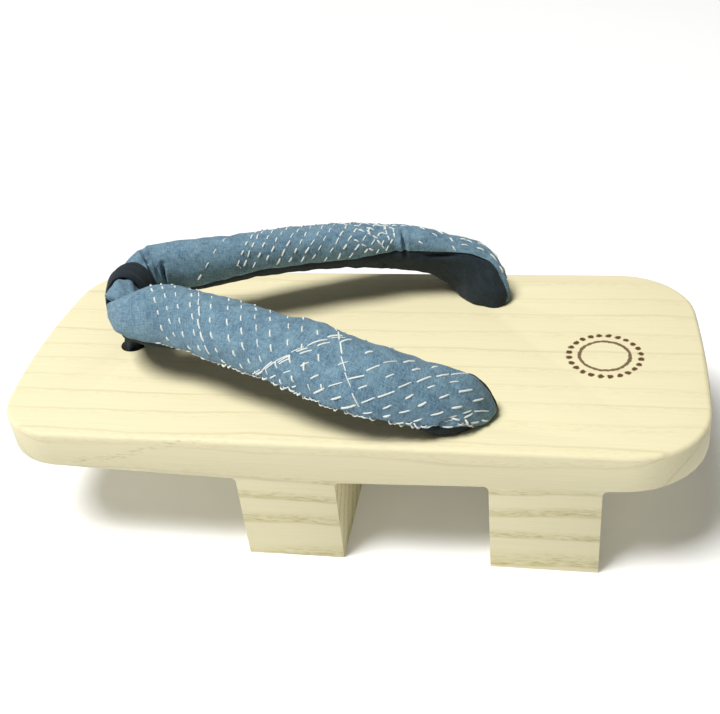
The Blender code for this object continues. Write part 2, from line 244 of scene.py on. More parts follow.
# How far the rings stray, slowly and in short waves, and how many changes fit in one metre
RING_DRIFT = 0.0125
DRIFT_SCALE = (20.0, 5.5, 34.0)
RING_WAVE = 0.0011
WAVE_SCALE = (55.0, 60.0, 55.0)
FIBRE_SCALE = (1500.0, 30.0, 1500.0)
LATE_WOOD_SCALE = (90.0, 9.0, 90.0)
PORE_SCALE = (2000.0, 300.0, 2000.0)
BAND_SCALE = (700.0, 110.0, 700.0)
PALE_WOOD = (0.80, 0.742, 0.500, 1.0)
RING_WOOD = (0.52, 0.455, 0.27, 1.0)
BAND_WOOD = (0.58, 0.53, 0.26, 1.0)
PORE_WOOD = (0.37, 0.30, 0.13, 1.0)
BURNED_WOOD = (0.12, 0.055, 0.020, 1.0)
FIBRE_SHARE = 0.10
BANDS_ON_TEETH = 0.80
PORES_ON_BOARD = 0.14
PORES_ON_TEETH = 0.50
# Depth below the board's top from which, and to which, wood passes for tooth
TEETH_FADE = (0.014, 0.018)
PORES_IN_FIGURE = 0.42
FIGURE_FROM_Y = 0.098
FIGURE_TO_Y = 0.036
FIGURE_DROP = 0.0135
FIGURE_WIDTH = 0.0022
FIGURE_WAVE = 0.003
FIGURE_FADE = 0.01
MARK_PLACE = (-0.0005, -0.0905)
MARK_RADIUS = 0.0125
MARK_DOTS = 24
MARK_DOT_RADIUS = 0.00078
MARK_INNER_RADIUS = 0.0088
MARK_INNER_WIDTH = 0.0004
MARK_WOBBLE = 0.0013
MARK_LINE_WOBBLE = 0.0012
GRAIN_HEIGHT = 0.00008


def burned_ring(place, parts, top_height):
    """1 on the burned dots and the thin ring inside them, 0 on bare wood."""
    x = minus(parts[0], MARK_PLACE[0])
    y = minus(parts[1], MARK_PLACE[1])
    radius = maths("SQRT", times_plus(y, y, times(x, x)))
    turns = maths("FRACT", times(maths("ARCTAN2", y, x), MARK_DOTS / (2 * math.pi)))
    across = times(minus(turns, 0.5), 2 * math.pi * MARK_RADIUS / MARK_DOTS)
    off_ring = minus(radius, MARK_RADIUS)
    distance = maths("SQRT", times_plus(across, across, times(off_ring, off_ring)))
    wobble = minus(noise_value(place, (800.0, 800.0, 800.0)), 0.5)
    distance = times_plus(wobble, MARK_WOBBLE, distance)
    dots = spread(distance, MARK_DOT_RADIUS, MARK_DOT_RADIUS * 1.7, 1.0, 0.0)
    from_line = maths("ABSOLUTE", minus(radius, MARK_INNER_RADIUS))
    from_line = times_plus(wobble, MARK_LINE_WOBBLE, from_line)
    line = spread(from_line, MARK_INNER_WIDTH, MARK_INNER_WIDTH * 1.9, 0.9, 0.0)
    on_top = spread(parts[2], top_height - 0.0008, top_height - 0.0003)
    return times(maths("MAXIMUM", dots, line), on_top)


def side_figure(parts, waves, top_height):
    """1 along the one ring that climbs slanting over the board's left side, 0 elsewhere."""
    line_height = spread(parts[1], FIGURE_TO_Y, FIGURE_FROM_Y, top_height - 0.001,
                         top_height - FIGURE_DROP)
    line_height = times_plus(waves, FIGURE_WAVE, line_height)
    off_line = maths("ABSOLUTE", minus(parts[2], line_height))
    near_line = spread(off_line, 0.0, FIGURE_WIDTH, 1.0, 0.0)
    on_side = spread(parts[0], sole_low.x + 0.0004, sole_low.x + 0.0012, 1.0, 0.0)
    starts = spread(parts[1], FIGURE_FROM_Y - FIGURE_FADE, FIGURE_FROM_Y, 1.0, 0.0)
    ends = spread(parts[1], FIGURE_TO_Y - FIGURE_FADE, FIGURE_TO_Y)
    return times(times(near_line, on_side), times(starts, ends))


def paint_wood(top_height):
    material, tree, shader = start_material("planed_paulownia")
    place = object_place(tree)
    parts = axes(place)
    from_x = minus(parts[0], TREE_MIDDLE_X)
    from_z = minus(parts[2], TREE_MIDDLE_Z)
    radius = maths("SQRT", times_plus(from_z, from_z, times(from_x, from_x)))
    radius = times_plus(noise_value(place, DRIFT_SCALE), RING_DRIFT, radius)
    waves = noise_value(place, WAVE_SCALE)
    radius = times_plus(waves, RING_WAVE, radius)
    rings = maths("FRACT", times(radius, 1 / RING_WIDTH))
    late_wood = times(spread(rings, 0.84, 0.95), spread(rings, 0.95, 1.0, 1.0, 0.0))

    fibres = noise_value(place, FIBRE_SCALE, 3.0, 0.6)
    fibre_shade = spread(fibres, 0.3, 0.7)
    late_share = spread(noise_value(place, LATE_WOOD_SCALE), 0.3, 0.7, 0.08, 0.40)
    color = mix_colors(times(late_wood, late_share), PALE_WOOD, RING_WOOD)
    color = mix_colors(times(fibre_shade, FIBRE_SHARE), color, RING_WOOD)

    past_ring = spread(rings, 0.0, 0.42, 1.0, 0.0)
    pore_band = maths("MAXIMUM", past_ring, spread(rings, 0.90, 0.99))
    on_teeth = spread(parts[2], top_height - TEETH_FADE[1], top_height - TEETH_FADE[0], 1.0, 0.0)
    band = times(pore_band, spread(noise_value(place, BAND_SCALE), 0.3, 0.7, 0.3, 1.0))
    color = mix_colors(times(band, times(on_teeth, BANDS_ON_TEETH)), color, BAND_WOOD)
    dashes = spread(noise_value(place, PORE_SCALE), 0.47, 0.68)
    pore_share = spread(on_teeth, 0.0, 1.0, PORES_ON_BOARD, PORES_ON_TEETH)
    pores = times(times(dashes, pore_band), pore_share)
    figure = times(times(dashes, side_figure(parts, waves, top_height)), PORES_IN_FIGURE)
    pores = maths("MAXIMUM", pores, figure)
    color = mix_colors(pores, color, PORE_WOOD)
    burned = burned_ring(place, parts, top_height)

    height = times_plus(fibre_shade, 0.35, times(pores, -1.2))
    height = times_plus(burned, -2.5, height)
    set_inputs(shader, {
        "Base Color": mix_colors(burned, color, BURNED_WOOD),
        "Roughness": spread(fibres, 0.3, 0.7, 0.52, 0.68),
        "Normal": bump(height, GRAIN_HEIGHT),
        "Specular IOR Level": 0.35,
    })
    return material


sole_low, sole_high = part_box("sole_block")
BOARD_TOP = sole_high.z
wood = paint_wood(BOARD_TOP)
print("wood material nodes:", len(wood.node_tree.nodes))

# %% [markdown]
# The block.
# The carved block already has the right form as a solid, but its edges are as sharp as a
# drawing. A carpenter breaks every edge with a stroke of the plane. A copy of the solid is
# merged into clean faces, and a small Bevel rounds what is sharper than 35 degrees.

# %% Soften the carved block
EDGE_SOFTENING = 0.0012
SOFTEN_FROM_DEGREES = 35
SHARP_FROM_DEGREES = 30
WELD_DISTANCE = 0.00002
FLAT_TO_DEGREES = 0.6


def add_piece(name, mesh, material=None):
    if material:
        mesh.materials.append(material)
    return add_object(name, mesh)


def as_plain_mesh(piece):
    """Puts what the modifiers make into the mesh itself, and removes them."""
    bpy.context.view_layer.update()
    evaluated = piece.evaluated_get(bpy.context.evaluated_depsgraph_get())
    mesh = bpy.data.meshes.new_from_object(evaluated)
    mesh.name = piece.name
    piece.modifiers.clear()
    piece.data = mesh


def merged_copy(node, name):
    """A welded copy of a solid's loose triangles, with flat areas joined into single faces."""
    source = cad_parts[node]
    shape = bmesh.new()
    shape.from_mesh(source.data)
    shape.transform(source.matrix_world)
    bmesh.ops.remove_doubles(shape, verts=shape.verts, dist=WELD_DISTANCE)
    bmesh.ops.dissolve_limit(shape, angle_limit=math.radians(FLAT_TO_DEGREES),
                             verts=shape.verts, edges=shape.edges)
    bmesh.ops.recalc_face_normals(shape, faces=shape.faces)
    mesh = bpy.data.meshes.new(name)
    shape.to_mesh(mesh)
    shape.free()
    return mesh


block = add_piece("carved_block", merged_copy("sole_block", "carved_block"), wood)
soften = block.modifiers.new("broken_edges", "BEVEL")
soften.width = EDGE_SOFTENING
soften.segments = 3
soften.limit_method = "ANGLE"
soften.angle_limit = math.radians(SOFTEN_FROM_DEGREES)
as_plain_mesh(block)
block.data.shade_smooth()
block.data.set_sharp_from_angle(angle=math.radians(SHARP_FROM_DEGREES))
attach(block, "root")
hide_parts("sole_block")
print("block faces:", len(block.data.polygons))

# %% [markdown]
# The form of the strap.
# Each arm of the strap is a stuffed tube whose section turns as it runs back. Drawing it as a
# ring swept along a line needs only a table: where the middle of the section lies, how wide and
# thick it is, and how far it leans. The same table made the solid. A smooth curve through the
# rows gives any section, so this surface and the solid agree.

# %% Describe one arm of the strap
BLOCK_WIDTH = sole_high.x - sole_low.x
TOE_Y = sole_high.y
STRAP_WIDTH = 0.0260
STRAP_THICKNESS = 0.0180
STRAP_RISE = 0.0249
STRAP_SPREAD = BLOCK_WIDTH / 2 - 0.01135
FRONT_HOLE_Y = TOE_Y - 0.0385
REAR_HOLE_Y = -0.0430
BEND_Y = FRONT_HOLE_Y - 0.0040
STRAP_REACH = BEND_Y - REAR_HOLE_Y
SEAT_Z = BOARD_TOP + 0.0003

ARM_SECTION_SHARES = (
    # out, back, up, wide, thick, lean
    (0.000, 0.000, 0.84, 0.85, 0.78, 90),
    (0.182, 0.006, 0.87, 0.90, 0.84, 84),
    (0.330, 0.043, 0.92, 0.94, 0.92, 76),
    (0.386, 0.106, 0.97, 0.93, 0.98, 67),
    (0.412, 0.178, 1.00, 0.90, 1.00, 60),
    (0.466, 0.241, 1.01, 0.88, 1.00, 52),
    (0.614, 0.367, 1.00, 0.88, 0.98, 44),
    (0.759, 0.494, 0.96, 0.90, 0.95, 36),
    (0.889, 0.620, 0.90, 0.95, 0.91, 32),
    (0.989, 0.746, 0.78, 0.95, 0.87, 38),
    (1.000, 0.873, 0.60, 0.95, 0.85, 58),
    (0.950, 0.970, 0.32, 0.99, 0.84, 78),
    (0.886, 1.010, 0.00, 1.01, 0.84, 88),
    (0.860, 1.020, -0.30, 0.98, 0.78, 90),
)


def slopes_through(stations, values, first_slope):
    slopes = [first_slope]
    for index in range(1, len(values) - 1):
        before = stations[index] - stations[index - 1]
        after = stations[index + 1] - stations[index]
        slope_before = (values[index] - values[index - 1]) / before
        slope_after = (values[index + 1] - values[index]) / after
        slopes.append((slope_before * after + slope_after * before) / (before + after))
    slopes.append((values[-1] - values[-2]) / (stations[-1] - stations[-2]))
    return slopes


def smooth_value(stations, values, slopes, station):
    last = len(stations) - 2
    index = 0
    while index < last and station > stations[index + 1]:
        index += 1
    span = stations[index + 1] - stations[index]
    t = (station - stations[index]) / span
    start = values[index] * (1 + 2 * t) * (1 - t) ** 2 + slopes[index] * span * t * (1 - t) ** 2
    end = values[index + 1] * t * t * (3 - 2 * t) - slopes[index + 1] * span * t * t * (1 - t)
    return start + end


class StrapArm:
    """One arm as a smooth surface: station is metres from the bend, angle is radians round."""

    def __init__(self):
        self.places = []
        columns = ([], [], [])
        for out, back, up, wide, thick, lean in ARM_SECTION_SHARES:
            self.places.append(Vector((out * STRAP_SPREAD, BEND_Y - back * STRAP_REACH,
                                       BOARD_TOP + up * STRAP_RISE)))
            columns[0].append(wide * STRAP_WIDTH / 2)
            columns[1].append(thick * STRAP_THICKNESS / 2)
            columns[2].append(math.radians(lean))
        self.stations = [0.0]
        for place_a, place_b in zip(self.places, self.places[1:]):
            self.stations.append(self.stations[-1] + (place_b - place_a).length)
        self.length = self.stations[-1]
        self.place_slopes = slopes_through(self.stations, self.places, Vector((1.0, 0.0, 0.0)))
        self.sizes = [(values, slopes_through(self.stations, values, 0.0)) for values in columns]

    def centre(self, station):
        return smooth_value(self.stations, self.places, self.place_slopes, station)

    def size(self, column, station):
        values, slopes = self.sizes[column]
        return smooth_value(self.stations, values, slopes, station)

    def section(self, station):
        """Middle, broad direction, face direction, half width and half thickness."""
        step = self.length / 1000
        before = self.centre(max(station - step, 0.0))
        after = self.centre(min(station + step, self.length))
        along = (after - before).normalized()
        if station < step:
            along = Vector((1.0, 0.0, 0.0))
        outward = Vector((0.0, 0.0, 1.0)).cross(along).normalized()
        upward = along.cross(outward)
        lean = self.size(2, station)
        face = upward * math.cos(lean) + outward * math.sin(lean)
        return (self.centre(station), along.cross(face), face,
                self.size(0, station), self.size(1, station))

    def point(self, station, angle, lift=0.0):
        centre, broad, face, half_width, half_thickness = self.section(abs(station))
        place = (centre + broad * (half_width + lift) * math.cos(angle)
                 + face * (half_thickness + lift) * math.sin(angle))
        if station < 0.0:
            place.x = -place.x
        return place


arm = StrapArm()
print("one arm in mm:", round(arm.length * 1000, 1))

# %% [markdown]
# Seams, hollows and folds of the strap.
# The blue cover wraps the top of the tube and meets the navy lining along two seams that wander
# round the arm. A stuffed tube is never even: it swells between the seams, dips at them, and is
# creased where it is bent or tied. Simulated cloth would swell everywhere alike, so the dips and
# folds are written down as lines on the tube, each with its depth and width, and the tube is
# lowered along them.

# %% Describe the seams and folds
# Each row: millimetres from the bend, degrees round. 0 is the inner upper edge, 90 the top.
INNER_SEAM = ((0, -112), (29, -104), (42, -78), (51, -68), (72, -58), (98, -43), (105, -32),
              (112, -29), (124, -33), (136, -18), (143, 12), (150, 14), (159, 14))
OUTER_SEAM = ((0, 165), (10, 146), (18, 124), (26, 137), (33, 153), (42, 166), (55, 174), (70, 183),
              (105, 184), (118, 175), (126, 163), (132, 146), (138, 124), (143, 107), (148, 92),
              (153, 82), (159, 80))
# The near arm's inner seam lies further round at its foot, by these degrees
NEAR_FOOT_TURN = ((0, 0), (141, 0), (147, 8), (151, 20), (159, 26))
GIRTH = 0.070
SEAM_DIP = 0.0006
SEAM_DIP_WIDTH = 0.0014
TUCK_HEIGHT = 0.0032
TUCK_DEPTH = 0.0010
MOST_TUCK = 1.6
LUMP_HEIGHT = 0.00055
LUMPS_PER_METRE = 75.0
# Puckers are this many times finer than lumps
PUCKER_FINENESS = 3.1
# Between these metres from the bend, puckers grow from the first share to the second
PUCKERS_GROW = (0.030, 0.050)
PUCKER_SHARES = (0.4, 0.9)
# A fold's cloth stands up beside it by this share of its depth
FOLD_RIDGE = 0.22
# Where the toe loop gathers the cloth: how far from the bend, over what length, and how deep
GATHER_FROM_BEND = 0.009
GATHER_LENGTH = 0.006
GATHER_DEPTH = 0.0004
GATHERS = 9
GATHER_SHIFT = 1.3
LOOP_GROOVE_DEPTH = 0.0010
LOOP_GROOVE_LENGTH = 0.0068
# Folds: side of the strap, first place, last place (mm, degrees), depth mm, half width mm
FOLDS = (
    (-1, (5.5, 86), (15.5, 44), 3.4, 0.9),
    (-1, (15.5, 40), (18, -10), 1.6, 1.2),
    (-1, (9, -60), (20, -36), 0.8, 1.8),
    (-1, (8, 150), (20, 118), 0.7, 1.6),
    (1, (15.5, 40), (12.5, -24), 2.6, 0.8),
    (1, (12.5, -20), (8.5, -70), 2.2, 0.9),
    (1, (22, -34), (19.8, -86), 2.8, 0.75),
    (1, (7, 90), (16, 60), 0.8, 1.6),
    (1, (28, -20), (34, -56), 0.5, 2.0),
    (1, (110.6, 32), (113.4, -44), 3.0, 0.85),
    (1, (105.5, -10), (110.5, -40), 1.0, 1.4),
    (1, (103, -62), (107, -100), 1.4, 1.0),
    (1, (118, -46), (136, -30), 1.4, 1.0),
    (1, (126, 20), (131, -30), 0.6, 2.2),
    (1, (139, -6), (146, -24), 0.9, 1.6),
    (-1, (80, 30), (84, -20), 0.9, 2.2),
    (-1, (137, 126), (140.5, 96), 1.6, 1.1),
    (-1, (134, 60), (138, 20), 0.5, 2.4),
    (1, (137, 122), (142, 92), 1.0, 1.6),
)
# Swellings and hollows: side (0 for both), mm from the bend and its half length, degrees and
# their half width, and how many millimetres the skin stands out
SWELLINGS = (
    (-1, 17.0, 7.0, -8, 60, -4.4),
    (-1, 13.0, 5.0, 95, 36, -0.8),
    (1, 13.0, 5.0, 46, 44, 0.8),
    (-1, 26.0, 7.0, 60, 40, 0.5),
    (0, 15.0, 9.0, 172, 46, -2.4),
    (-1, 43.0, 10.0, -10, 40, -0.8),
    (-1, 91.0, 7.0, 15, 40, 0.8),
    (0, 131.0, 12.0, 200, 42, -1.6),
    (-1, 128.0, 12.0, 22, 44, -2.3),
    (-1, 6.5, 3.0, 80, 24, -0.8),
    (-1, 143.5, 6.0, -2, 44, 1.1),
    (-1, 118.0, 10.0, -40, 40, 0.8),
    (1, 118.0, 7.0, 20, 60, 0.6),
    (1, 106.0, 27.0, -98, 56, 2.0),
    (1, 141.0, 8.0, 36, 46, 2.4),
    (1, 152.0, 7.0, -88, 60, 1.5),
)


def seam_angle(seam, station):
    """Degrees round at which a seam lies, evened out over a few millimetres."""
    millimetres = abs(station) * 1000
    around = [millimetres + offset for offset in (-4.0, -2.0, 0.0, 2.0, 4.0)]
    stations, angles = zip(*seam)
    angle = float(np.mean(np.interp(np.abs(around), stations, angles)))
    if seam is INNER_SEAM and station < 0.0:
        angle += float(np.interp(millimetres, *zip(*NEAR_FOOT_TURN)))
    return angle


def round_length(degrees):
    """Metres on the skin for degrees round the tube."""
    return math.radians(degrees) * GIRTH / (2 * math.pi)


def on_skin(station_mm, degrees):
    """A place on the unrolled skin, in metres."""
    return Vector((station_mm / 1000, round_length(degrees)))


def line_distance(point, first, last):
    """Metres on the skin from a point to a line, and how far along the line that is."""
    run = last - first
    share = min(max((point - first).dot(run) / run.length_squared, 0.0), 1.0)
    return (point - first - run * share).length, share


def nearest_turn(angle, seam):
    return (angle - seam + 180.0) % 360.0 - 180.0


def relief(station, angle):
    """How far the skin stands off the plain tube, in metres, at a signed station."""
    side = 1 if station >= 0 else -1
    from_bend = abs(station)
    lift = 0.0
    for seam in (INNER_SEAM, OUTER_SEAM):
        off_seam = round_length(nearest_turn(angle, seam_angle(seam, station)))
        lift -= SEAM_DIP * math.exp(-(off_seam / SEAM_DIP_WIDTH) ** 2)
    wrapped = nearest_turn(angle, 0.0)
    point = Vector((from_bend, round_length(wrapped)))
    for fold_side, start, end, depth, half_width in FOLDS:
        if fold_side != side:
            continue
        distance, share = line_distance(point, on_skin(*start), on_skin(*end))
        across = distance * 1000 / half_width
        ends = math.sin(math.pi * min(max(share, 0.12), 0.88))
        lift -= depth / 1000 * ends * (math.exp(-across ** 2)
                                       - FOLD_RIDGE * math.exp(-(across - 2.0) ** 2))
    for swell_side, station_mm, half_length, degrees, half_turn, height in SWELLINGS:
        if swell_side == -side:
            continue
        lengthwise = (from_bend * 1000 - station_mm) / half_length
        roundwise = nearest_turn(angle, degrees) / half_turn
        lift += height / 1000 * math.exp(-lengthwise ** 2 - roundwise ** 2)
    gathered = math.exp(-((from_bend - GATHER_FROM_BEND) / GATHER_LENGTH) ** 2)
    lift += GATHER_DEPTH * gathered * math.sin(math.radians(wrapped) * GATHERS + side * GATHER_SHIFT)
    lift -= LOOP_GROOVE_DEPTH * math.exp(-(from_bend / LOOP_GROOVE_LENGTH) ** 4)
    place = arm.point(station, math.radians(angle))
    puckers = float(np.interp(from_bend, PUCKERS_GROW, PUCKER_SHARES))
    lumps = noise.noise(place * LUMPS_PER_METRE)
    lumps += puckers * noise.noise(place * LUMPS_PER_METRE * PUCKER_FINENESS)
    return lift + LUMP_HEIGHT * lumps


def skin_point(station, angle, lift=0.0):
    """A point of the stuffed strap's skin, which tucks in where it comes down to the board."""
    standing = relief(station, angle) + lift
    height = arm.point(station, math.radians(angle), standing).z - SEAT_Z
    tucked = min(max(1.0 - height / TUCK_HEIGHT, 0.0), MOST_TUCK)
    return arm.point(station, math.radians(angle), standing - TUCK_DEPTH * tucked ** 2)


print("folds drawn on the strap:", len(FOLDS))

# %% [markdown]
# The lining and the cover.
# On the real strap a strip of navy cotton and a strip of blue cotton are sewn into one tube and
# stuffed. Two bodies show that best: a full navy tube, and a blue sheet that lies on it and ends
# at the seams with a small folded edge. Both are grids of stations and angles, so both have a
# UV map in metres, and threads and stitches can follow the tube. Solidify gives the blue sheet
# its thickness. The hand-sewn outer edge is scalloped, so that seam swings a little to and fro.
# Both tubes run on into the board and are cut level with its top, as an arm stands on it.

# %% Build the lining and the cover
STATION_STEP = 0.0008
BEND_LENGTH = 0.026
BEND_STEP = 0.0005
COVER_COLUMNS = 66
LINING_COLUMNS = 76
SHEET_THICKNESS = 0.0009
LINING_DEPTH = 0.0007
SCALLOP_LENGTH = 0.0036
SCALLOP_DEGREES = 1.9
# Where scallops start and end, and over what length they grow and fade
SCALLOPS_FROM = 0.045
SCALLOPS_GROW = 0.020
SCALLOPS_TO = 0.146
SCALLOPS_FADE = 0.014
# Slow random changes in a metre, and how far they shift and swing the scallops
SCALLOP_DRIFTS = 160.0
SCALLOP_SHIFT = 0.6
SCALLOP_SWAY = 1.2
SMOOTH_TO_DEGREES = 50


def station_list():
    """Stations from one foot to the other, closer together round the creased bend."""
    bend_steps = round(BEND_LENGTH / BEND_STEP)
    arm_steps = round((arm.length - BEND_LENGTH) / STATION_STEP)
    half = [BEND_LENGTH * index / bend_steps for index in range(bend_steps)]
    half += [BEND_LENGTH + (arm.length - BEND_LENGTH) * index / arm_steps
             for index in range(arm_steps + 1)]
    return [-station for station in reversed(half[1:])] + half


def start_shape():
    shape = bmesh.new()
    return shape, shape.loops.layers.uv.new("weave")


def join_grid(shape, uv_layer, grid, uv_at, rows_meet=False, columns_meet=True):
    """Faces between a grid's vertices; uv_at gives the UV of a row and column, in metres."""
    for row in range(len(grid) if rows_meet else len(grid) - 1):
        for column in range(len(grid[0]) if columns_meet else len(grid[0]) - 1):
            corners = ((row, column), (row + 1, column), (row + 1, column + 1), (row, column + 1))
            face = shape.faces.new([grid[r % len(grid)][c % len(grid[0])] for r, c in corners])
            for loop, (r, c) in zip(face.loops, corners):
                loop[uv_layer].uv = uv_at(r, c)


def finish_mesh(shape, name):
    bmesh.ops.recalc_face_normals(shape, faces=shape.faces)
    mesh = bpy.data.meshes.new(name)
    shape.to_mesh(mesh)
    shape.free()
    mesh.shade_smooth()
    return mesh


def close_end(shape, ring, shares):
    """Fills a ring with shrinking rings and one last point, so that it ends softly."""
    middle = sum((vertex.co for vertex in ring), Vector()) / len(ring)
    current = ring
    for share in shares:
        inner = [shape.verts.new(middle + (vertex.co - middle) * share) for vertex in ring]
        for index in range(len(ring)):
            after = (index + 1) % len(ring)
            shape.faces.new((current[index], current[after], inner[after], inner[index]))
        current = inner
    tip = shape.verts.new(middle)
    for index in range(len(ring)):
        shape.faces.new((current[index], current[(index + 1) % len(ring)], tip))


def make_lining():
    shape, uv_layer = start_shape()
    stations = station_list()
    turns = [360.0 * column / LINING_COLUMNS for column in range(LINING_COLUMNS)]
    grid = [[shape.verts.new(skin_point(station, turn, -LINING_DEPTH)) for turn in turns]
            for station in stations]
    join_grid(shape, uv_layer, grid, lambda r, c: (stations[r], c / LINING_COLUMNS * GIRTH))
    for ring in (grid[0], grid[-1]):
        close_end(shape, ring, (0.66, 0.33))
    return finish_mesh(shape, "strap_lining")


def scallop(station):
    """Degrees by which the hand-sewn edge swings, as the thread pulls it in."""
    from_bend = abs(station)
    fade = min(max((from_bend - SCALLOPS_FROM) / SCALLOPS_GROW, 0.0), 1.0)
    fade *= min(max((SCALLOPS_TO - from_bend) / SCALLOPS_FADE, 0.25), 1.0)
    slow = noise.noise(Vector((station * SCALLOP_DRIFTS, 0.0, 4.0)))
    turn = 2 * math.pi * (station / SCALLOP_LENGTH + SCALLOP_SHIFT * slow)
    return SCALLOP_DEGREES * fade * (math.sin(turn) + SCALLOP_SWAY * slow)


def make_cover():
    shape, uv_layer = start_shape()
    grid = []
    places = []
    for station in station_list():
        first = seam_angle(INNER_SEAM, station)
        last = seam_angle(OUTER_SEAM, station) + scallop(station)
        turns = [first + (last - first) * column / COVER_COLUMNS
                 for column in range(COVER_COLUMNS + 1)]
        grid.append([shape.verts.new(skin_point(station, turn)) for turn in turns])
        places.append([(station, turn / 360.0 * GIRTH) for turn in turns])
    join_grid(shape, uv_layer, grid, lambda r, c: places[r][c], columns_meet=False)
    return finish_mesh(shape, "strap_cover")


def faces_outward(mesh):
    """Turns an open sheet so that its faces look away from the tube's middle line."""
    middles = [arm.centre(arm.length * index / 60) for index in range(61)]
    votes = 0
    for face in mesh.polygons:
        mirrored = Vector((abs(face.center.x), face.center.y, face.center.z))
        middle = min(middles, key=lambda place: (place - mirrored).length_squared)
        away = face.center - Vector((math.copysign(middle.x, face.center.x), middle.y, middle.z))
        votes += 1 if face.normal.dot(away) > 0 else -1
    if votes < 0:
        mesh.flip_normals()


def cut_level(mesh):
    """Cuts away what lies below the seat on the board and closes the cut."""
    shape = bmesh.new()
    shape.from_mesh(mesh)
    everything = shape.verts[:] + shape.edges[:] + shape.faces[:]
    bmesh.ops.bisect_plane(shape, geom=everything, plane_co=(0.0, 0.0, SEAT_Z),
                           plane_no=(0.0, 0.0, 1.0), clear_inner=True)
    rim = [edge for edge in shape.edges if edge.is_boundary]
    bmesh.ops.holes_fill(shape, edges=rim, sides=0)
    shape.to_mesh(mesh)
    shape.free()


lining = add_piece("strap_lining", make_lining())
cover = add_piece("strap_cover", make_cover())
faces_outward(cover.data)
thicken = cover.modifiers.new("sheet", "SOLIDIFY")
thicken.thickness = SHEET_THICKNESS
thicken.offset = -1.0
for piece in (cover, lining):
    as_plain_mesh(piece)
    cut_level(piece.data)
    piece.data.shade_smooth()
    piece.data.set_sharp_from_angle(angle=math.radians(SMOOTH_TO_DEGREES))
print("cover and lining faces:", len(cover.data.polygons), len(lining.data.polygons))

# %% [markdown]
# Cotton.
# The cover is chambray: blue threads one way and near-white threads the other, which gives soft
# light and dark flecks along both. The weave itself is finer than a camera sees from here, but it
# shows close up. A texture image would blur, so the threads are two sine waves on the UV map,
# which is in metres, and the flecks are noise stretched along each set of threads.

# %% Paint the cotton
THREADS_PER_METRE = 2600.0
FLECKS_ALONG = (420.0, 2300.0, 1.0)
FLECKS_ROUND = (2300.0, 460.0, 1.0)
CLOUD_SCALE = (160.0, 160.0, 1.0)
CLOUD_SHARE = 0.36
WEAVE_HEIGHT = 0.00012
BLUE_DARK = (0.044, 0.110, 0.194, 1.0)
BLUE_LIGHT = (0.235, 0.382, 0.474, 1.0)
NAVY_DARK = (0.009, 0.015, 0.022, 1.0)
NAVY_LIGHT = (0.026, 0.039, 0.049, 1.0)


def paint_cotton(name, dark, light, fleck_share, sheen, roughness):
    material, tree, shader = start_material(name)
    skin = add_node(tree, "ShaderNodeUVMap", uv_map="weave").outputs[0]
    parts = axes(skin)
    over, under = (maths("SINE", times(part, THREADS_PER_METRE * math.pi)) for part in parts[:2])
    weave = times(over, under)
    along_part = spread(noise_value(skin, FLECKS_ALONG), 0.32, 0.72)
    round_part = spread(noise_value(skin, FLECKS_ROUND), 0.32, 0.72)
    flecks = times_plus(round_part, 0.55, times(along_part, 0.45))
    flecks = times_plus(spread(weave, -1.0, 1.0), 0.22, flecks)
    clouds = spread(noise_value(skin, CLOUD_SCALE, 4.0, 0.7), 0.3, 0.7)
    share = times_plus(clouds, CLOUD_SHARE, times(flecks, fleck_share))
    height = times_plus(flecks, 0.8, maths("ABSOLUTE", weave))
    set_inputs(shader, {
        "Base Color": mix_colors(share, dark, light),
        "Normal": bump(height, WEAVE_HEIGHT, 0.8),
        "Roughness": roughness,
        "Specular IOR Level": 0.2,
        "Sheen Weight": sheen,
        "Sheen Roughness": 0.5,
    })
    return material


blue_cotton = paint_cotton("blue_chambray", BLUE_DARK, BLUE_LIGHT, 0.72, 0.12, 0.85)
navy_cotton = paint_cotton("navy_cotton", NAVY_DARK, NAVY_LIGHT, 0.7, 0.06, 0.8)
for piece, material in ((cover, blue_cotton), (lining, navy_cotton)):
    piece.data.materials.clear()
    piece.data.materials.append(material)
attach(cover, "root")
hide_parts("strap")
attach(lining, "root")
print("threads per centimetre:", round(THREADS_PER_METRE / 100))

# %% [markdown]
# Where the stitches go.
# White running stitches cross the cover in slanting rows, drawn here as lines on the tube with
# the length of a stitch and the distance from one to the next. Each stitch is then dropped onto
# the finished cover: a ray finds the skin, and two neighbours give the direction of the thread.
# Hand sewing is uneven, so every stitch strays a little, from a fixed seed.

# %% Plan the stitches
STITCH_SEED = 41
